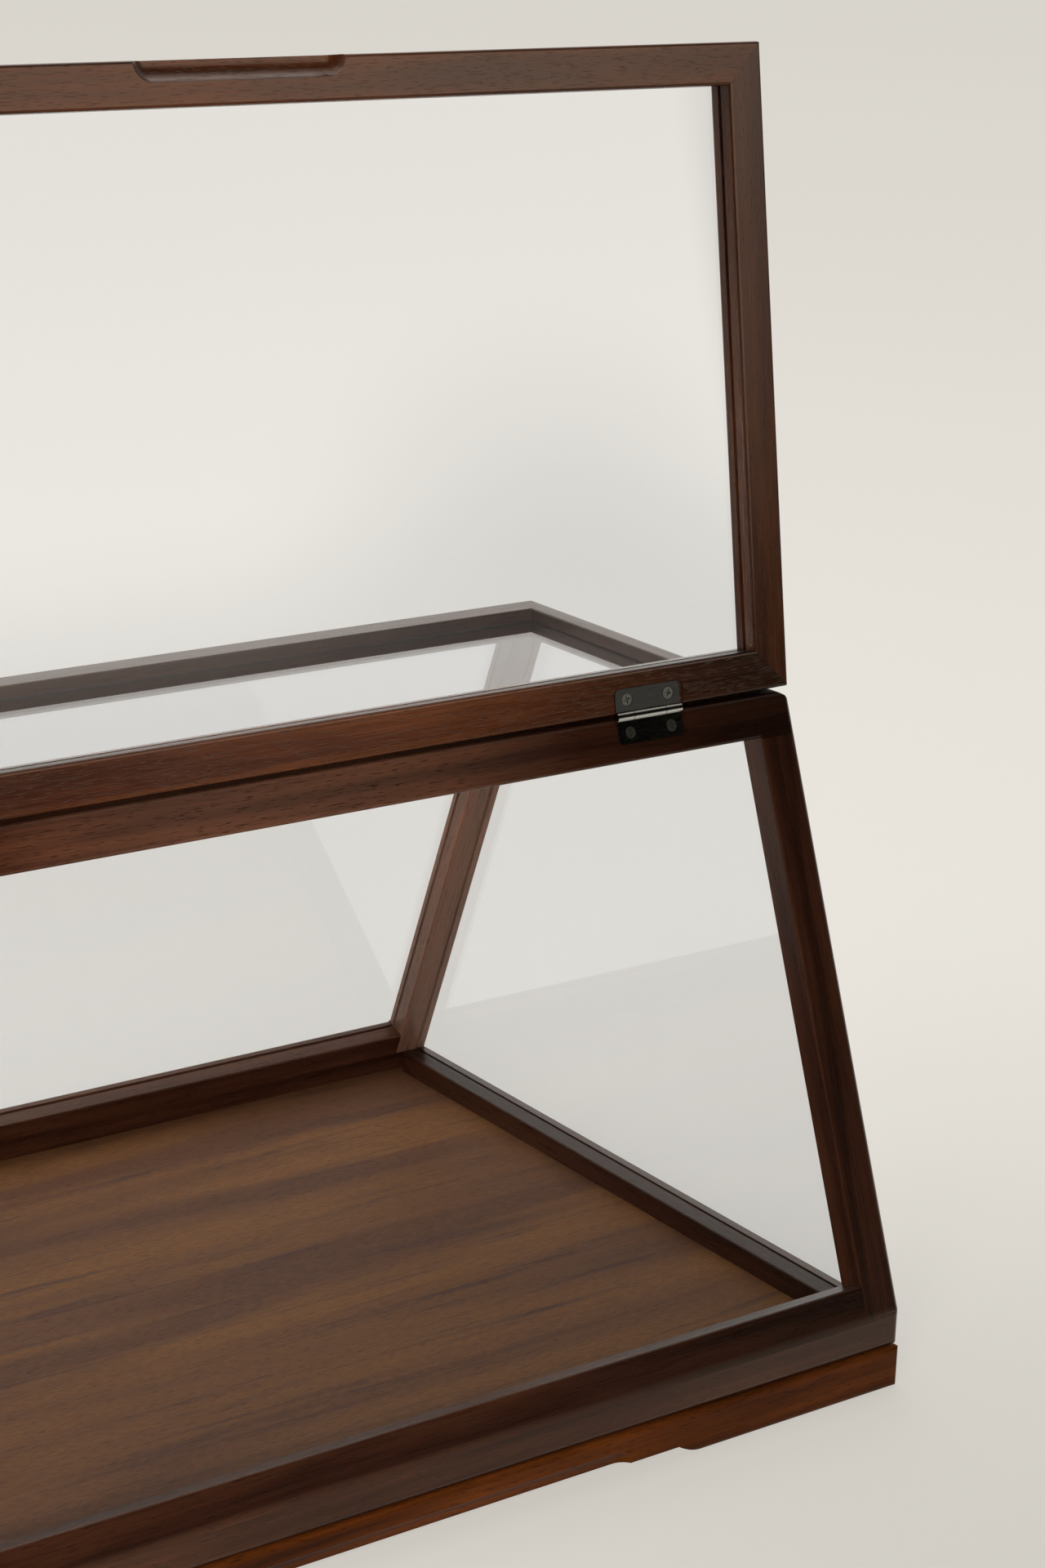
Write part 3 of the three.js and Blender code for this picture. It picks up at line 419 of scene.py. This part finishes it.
def clean_copy(node):
    """A CAD node's mesh with its loose triangles merged into whole faces."""
    work = bmesh.new()
    work.from_mesh(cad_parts[node].data)
    bmesh.ops.remove_doubles(work, verts=work.verts, dist=MERGE)
    bmesh.ops.dissolve_limit(work, angle_limit=FLAT, verts=work.verts, edges=work.edges)
    for face in work.faces:
        face.smooth = True
    for edge in work.edges:
        edge.smooth = len(edge.link_faces) == 2 and edge.calc_face_angle(0) < ARRIS
    return work


def finished(name, work, node, body, slot, coat):
    """Makes a piece of the worked mesh. It stands for the CAD node and moves with the body."""
    mesh = bpy.data.meshes.new(name)
    work.to_mesh(mesh)
    work.free()
    for left in ("custom_normal", "sharp_face"):
        if left in mesh.attributes:
            mesh.attributes.remove(mesh.attributes[left])
    mesh.materials.append(coat)
    piece = place(name, mesh)
    even = piece.modifiers.new("even_normals", "WEIGHTED_NORMAL")
    even.keep_sharp = True
    if slot == "door_wood":
        turned_to_screen.objects.link(piece)
    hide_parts(node)
    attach(piece, body)
    return piece


def wooden(node, grain, body, slot, coat, start=0.0, middle_stain_and_light=1.0, ends_stain_and_light=None):
    """A wooden member. Its grain runs along the given direction, and start shifts the figure.

    The middle and end values set how light the member is there: partly stain and partly painted light
    and shade.
    """
    piece = finished(node + "_wood", clean_copy(node), node, body, slot, coat)
    long = Vector(grain).normalized()
    aside = Vector((0, 0.6, 0.8)) if abs(long.y) < 0.9 else Vector((1, 0, 0))
    wide = long.cross(aside).normalized()
    thick = long.cross(wide)
    mesh = piece.data
    mesh.attributes.new("grain", "FLOAT_VECTOR", "POINT")
    mesh.attributes.new("stain_and_light", "FLOAT_VECTOR", "POINT")
    lines, depth = mesh.attributes["grain"], mesh.attributes["stain_and_light"]
    reach = [vertex.co.dot(long) for vertex in mesh.vertices]
    centre = (min(reach) + max(reach)) / 2
    half = (max(reach) - min(reach)) / 2
    for vertex in mesh.vertices:
        lines.data[vertex.index].vector = (vertex.co.dot(long) + start * 0.37,
                                           vertex.co.dot(wide) + start * 0.11,
                                           vertex.co.dot(thick) + start * 0.05)
        # the member's painted light and shade, with its stain, from middle to ends
        depth.data[vertex.index].vector = (middle_stain_and_light, middle_stain_and_light if ends_stain_and_light is None else ends_stain_and_light,
                                           (vertex.co.dot(long) - centre) / half)
    return piece


ALONG = (1, 0, 0)
ACROSS = (0, 1, 0)

# Hardwood stained orange-brown and oiled: a warm, dull face with almost no shine.
oiled = stained_wood("oiled_orange_brown_hardwood", linear("#34180a"), linear("#5a2e10"),
                     linear("#1a0c05"), 0.5, 0.12, linear("#d8b090"))
wooden("plinth_rail_front", ALONG, "case", "plinth_wood", oiled, 1)
wooden("plinth_rail_back", ALONG, "case", "plinth_wood", oiled, 2)
# The right rail is set a little darker: partly stain and partly painted shade.
wooden("plinth_rail_right", ACROSS, "case", "plinth_wood", oiled, 3, 0.92)
wooden("plinth_rail_left", ACROSS, "case", "plinth_wood", oiled, 4)

# ---------------------------------------------------------------------------------------------
# Floor panel. A board faced with brown veneer, its grain along the case, matt lacquered. It
# lies in a rebate on the underside of the lower frame, and the plinth holds it up.

# Sizes along and across the grain. The fine lines and the pores are drawn some three times as
# coarse as real ones here too, so that they show.
VENEER_BAND = (420 * MM, 34 * MM)
VENEER_STREAK = (160 * MM, 7 * MM)
VENEER_FIBRE = (24 * MM, 0.8 * MM)
VENEER_RIPPLE = (5 * MM, 1.1 * MM)
VENEER_PORE = (7 * MM, 0.6 * MM)

# Brown veneer under matt lacquer: wide soft bands, thin dark heart lines, a fine ripple and a
# face that mirrors almost nothing.
veneer, tree = new_material("matt_lacquered_brown_veneer")
grain = add_node(tree, "ShaderNodeAttribute", attribute_name="grain").outputs["Vector"]
bands = add_node(tree, "ShaderNodeTexNoise",
                 {"Vector": along_grain(tree, grain, VENEER_BAND, 2.3), "Scale": 1.0,
                  "Detail": 2.0, "Roughness": 0.5, "Distortion": 0.5})
streaks = add_node(tree, "ShaderNodeTexNoise",
                   {"Vector": along_grain(tree, grain, VENEER_STREAK, 5.9), "Scale": 1.0,
                    "Detail": 3.0, "Roughness": 0.6, "Distortion": 0.4})
fibres = add_node(tree, "ShaderNodeTexNoise",
                  {"Vector": along_grain(tree, grain, VENEER_FIBRE, 1.3), "Scale": 1.0,
                   "Detail": 2.0})
ripples = add_node(tree, "ShaderNodeTexNoise",
                   {"Vector": along_grain(tree, grain, VENEER_RIPPLE, 8.1), "Scale": 1.0,
                    "Detail": 1.0})
pores = add_node(tree, "ShaderNodeTexNoise",
                 {"Vector": along_grain(tree, grain, VENEER_PORE, 4.4), "Scale": 1.0,
                  "Detail": 1.0})
warm = add_node(tree, "ShaderNodeMapRange", {"Value": bands.outputs[0], "From Min": 0.36,
                                             "From Max": 0.62})
base = add_node(tree, "ShaderNodeMix", {0: warm.outputs[0], 6: linear("#4f3424"),
                                        7: linear("#654427")}, data_type="RGBA")
heart = add_node(tree, "ShaderNodeMapRange", {"Value": streaks.outputs[0], "From Min": 0.54,
                                              "From Max": 0.7, "To Min": 0.0, "To Max": 0.75})
base = add_node(tree, "ShaderNodeMix", {0: heart.outputs[0], 6: base.outputs[2],
                                        7: linear("#3c2a26")}, data_type="RGBA")
fine = add_node(tree, "ShaderNodeMapRange", {"Value": fibres.outputs[0], "From Min": 0.3,
                                             "From Max": 0.7, "To Min": 0.87, "To Max": 1.1})
wavy = add_node(tree, "ShaderNodeMapRange", {"Value": ripples.outputs[0], "From Min": 0.3,
                                             "From Max": 0.7, "To Min": 0.84, "To Max": 1.14})
shade = add_node(tree, "ShaderNodeMath", {0: fine.outputs[0], 1: wavy.outputs[0]},
                 operation="MULTIPLY")
toned = add_node(tree, "ShaderNodeVectorMath", {0: base.outputs[2], 3: shade.outputs[0]},
                 operation="SCALE")
open_pore = add_node(tree, "ShaderNodeMapRange", {"Value": pores.outputs[0], "From Min": 0.6,
                                                  "From Max": 0.7, "To Max": 0.55})
colour = add_node(tree, "ShaderNodeMix", {0: open_pore.outputs[0], 6: toned.outputs[0],
                                          7: linear("#2a1a12")}, data_type="RGBA")
rough = add_node(tree, "ShaderNodeMapRange", {"Value": fibres.outputs[0], "From Min": 0.3,
                                              "From Max": 0.7, "To Min": 0.5, "To Max": 0.62})
relief = add_node(tree, "ShaderNodeMath", {0: fine.outputs[0], 1: open_pore.outputs[0]},
                  operation="SUBTRACT")
bump = add_node(tree, "ShaderNodeBump", {"Strength": 0.5, "Distance": 0.04 * MM,
                                         "Height": relief.outputs[0]})
skin = add_node(tree, "ShaderNodeBsdfPrincipled",
                {"Base Color": colour.outputs[2], "Roughness": rough.outputs[0],
                 "Specular IOR Level": 0.15, "Normal": bump.outputs[0]})
add_node(tree, "ShaderNodeOutputMaterial", {"Surface": skin.outputs[0]})
wooden("floor_panel", ALONG, "case", "floor_wood", veneer, 5)

# ---------------------------------------------------------------------------------------------
# Case frame. The mitred lower frame, two sloping bottom rails, four sloping corner posts and
# the mitred top frame, all glued, sanded flush and stained dark reddish brown under a satin
# lacquer that hides the joints.

SLOPE = math.radians(20.826)
UP_FRONT = (0, math.sin(SLOPE), math.cos(SLOPE))
UP_BACK = (0, -math.sin(SLOPE), math.cos(SLOPE))

# Hardwood stained dark reddish brown under satin lacquer: near black where the room in front is dim,
# with grey light on its tops. The stain is tuned to each member, as the photograph has it: lighter or
# darker at each member's middle and ends, partly stain and partly painted light and shade, and on the
# back posts light enough to take a painted sheen of pale bare wood.
lacquered = stained_wood("satin_lacquered_dark_reddish_hardwood", linear("#23100a"),
                         linear("#3b2014"), linear("#120705"), 0.3, 0.8, linear("#a08874"))
wooden("lower_rail_front", ALONG, "case", "case_wood", lacquered, 6, 0.95, 1.3)
wooden("lower_rail_back", ALONG, "case", "case_wood", lacquered, 7)
wooden("lower_rail_right", ACROSS, "case", "case_wood", lacquered, 8, 0.6)
wooden("lower_rail_left", ACROSS, "case", "case_wood", lacquered, 9)
wooden("sill_rail_front", ALONG, "case", "case_wood", lacquered, 10, 0.95, 0.6)
wooden("sill_rail_back", ALONG, "case", "case_wood", lacquered, 11)
wooden("post_front_right", UP_FRONT, "case", "case_wood", lacquered, 12)
wooden("post_front_left", UP_FRONT, "case", "case_wood", lacquered, 13)
wooden("post_back_right", UP_BACK, "case", "case_wood", lacquered, 14, 2.3)
wooden("post_back_left", UP_BACK, "case", "case_wood", lacquered, 15, 2.3)
wooden("top_rail_front", ALONG, "case", "case_wood", lacquered, 16, 1.65, 0.35)
wooden("top_rail_back", ALONG, "case", "case_wood", lacquered, 17)
wooden("top_rail_right", ACROSS, "case", "case_wood", lacquered, 18)
wooden("top_rail_left", ACROSS, "case", "case_wood", lacquered, 19)

# ---------------------------------------------------------------------------------------------
# Panes. Float glass, 3 mm in the back, the ends and the door and 4 mm on top, cut square and
# held in grooves. Its faces are polished and its body is clear and faintly cool.

GLASS_BODY = linear("#f3f5f8")
# Clear float glass: what is behind it stays sharp and a little dimmer, under a faint mirror.
pane_glass, tree = new_material("clear_float_glass")
path = add_node(tree, "ShaderNodeLightPath")
body = add_node(tree, "ShaderNodeBsdfPrincipled",
                {"Base Color": GLASS_BODY, "Roughness": 0.0, "IOR": 1.52,
                 "Transmission Weight": 1.0})
lets_through = add_node(tree, "ShaderNodeBsdfTransparent", {"Color": GLASS_BODY})
both = add_node(tree, "ShaderNodeMixShader", {0: path.outputs["Is Shadow Ray"],
                                              1: body.outputs[0], 2: lets_through.outputs[0]})
add_node(tree, "ShaderNodeOutputMaterial", {"Surface": both.outputs[0]})
for node in ("glass_top", "glass_back", "glass_end_right", "glass_end_left", "door_glass"):
    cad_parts[node].material_slots[0].material = pane_glass
turned_to_screen.objects.link(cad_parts["door_glass"])

# ---------------------------------------------------------------------------------------------
# Door frame. Two rails and two stiles, mitred, stained like the case, with a finger scoop cut
# in the free rail. Each member's grain follows its own length, so the mitres show.

LEAN = math.radians(8.65)
UP_DOOR = (0, math.sin(LEAN), math.cos(LEAN))

# The same stain and lacquer as the case, redder and with a livelier shine.
door_coat = stained_wood("satin_lacquered_reddish_hardwood", linear("#2c130a"),
                         linear("#462410"), linear("#160804"), 0.23, 0.34, linear("#e8d0c0"))
# The hinged rail is set lighter in its middle and much darker at its ends, and the right stile
# darker: partly stain and partly painted light and shade.
wooden("door_rail_hinged", ALONG, "door", "door_wood", door_coat, 20, 1.15, 0.2)
wooden("door_rail_free", ALONG, "door", "door_wood", door_coat, 21)
wooden("door_stile_right", UP_DOOR, "door", "door_wood", door_coat, 22, 0.85, 0.6)
wooden("door_stile_left", UP_DOOR, "door", "door_wood", door_coat, 23)

# ---------------------------------------------------------------------------------------------
# Hinges. Two pressed steel butt hinges with bright plating: a leaf let into the case, a leaf
# let into the door, and a pin through four knuckles.

# Steel with bright nickel plating, polished along its length: dark where the room is dim, with
# a bright line on each knuckle. The polishing lines are drawn coarser than real, to show.
POLISH = (4 * MM, 0.4 * MM)
plating, tree = new_material("bright_nickel_plated_steel")
spot = add_node(tree, "ShaderNodeTexCoord")
brushed = add_node(tree, "ShaderNodeMapping", {"Vector": spot.outputs["Object"],
                                               "Scale": (1 / POLISH[0], 1 / POLISH[1],
                                                         1 / POLISH[1])})
lines = add_node(tree, "ShaderNodeTexNoise", {"Vector": brushed.outputs[0], "Scale": 1.0,
                                              "Detail": 2.0})
rough = add_node(tree, "ShaderNodeMapRange", {"Value": lines.outputs[0], "From Min": 0.3,
                                              "From Max": 0.7, "To Min": 0.12, "To Max": 0.24})
skin = add_node(tree, "ShaderNodeBsdfPrincipled",
                {"Base Color": linear("#c9c8c2"), "Metallic": 1.0,
                 "Roughness": rough.outputs[0]})
add_node(tree, "ShaderNodeOutputMaterial", {"Surface": skin.outputs[0]})

# Zinc plated screw steel: a softer, paler shine than the leaf it sits in. Its grit is drawn
# coarser than real, to show.
GRIT_PER_METRE = 1800.0
zinc, tree = new_material("zinc_plated_screw_steel")
spot = add_node(tree, "ShaderNodeTexCoord")
grit = add_node(tree, "ShaderNodeTexNoise", {"Vector": spot.outputs["Object"],
                                             "Scale": GRIT_PER_METRE, "Detail": 2.0})
rough = add_node(tree, "ShaderNodeMapRange", {"Value": grit.outputs[0], "From Min": 0.3,
                                              "From Max": 0.7, "To Min": 0.3, "To Max": 0.44})
skin = add_node(tree, "ShaderNodeBsdfPrincipled",
                {"Base Color": linear("#cfcdc4"), "Metallic": 1.0,
                 "Roughness": rough.outputs[0]})
add_node(tree, "ShaderNodeOutputMaterial", {"Surface": skin.outputs[0]})

for side in ("left", "right"):
    for part, rides in (("case_leaf", "case"), ("pin", "case"), ("door_leaf", "door")):
        node = f"hinge_{side}_{part}"
        finished(node + "_plated", clean_copy(node), node, rides, "hinge_steel", plating)
    for leaf in ("case", "door"):
        for place_number in (1, 2):
            node = f"hinge_{side}_{leaf}_screw_{place_number}"
            finished(node + "_zinc", clean_copy(node), node, leaf, "screw_steel", zinc)

# ---------------------------------------------------------------------------------------------
# Plinth screws. Four long countersunk screws, driven up through the plinth into the lower
# frame, with their heads just under the surface.

for side in ("front_left", "back_left", "front_right", "back_right"):
    node = "plinth_screw_" + side
    finished(node + "_zinc", clean_copy(node), node, "case", "screw_steel", zinc)
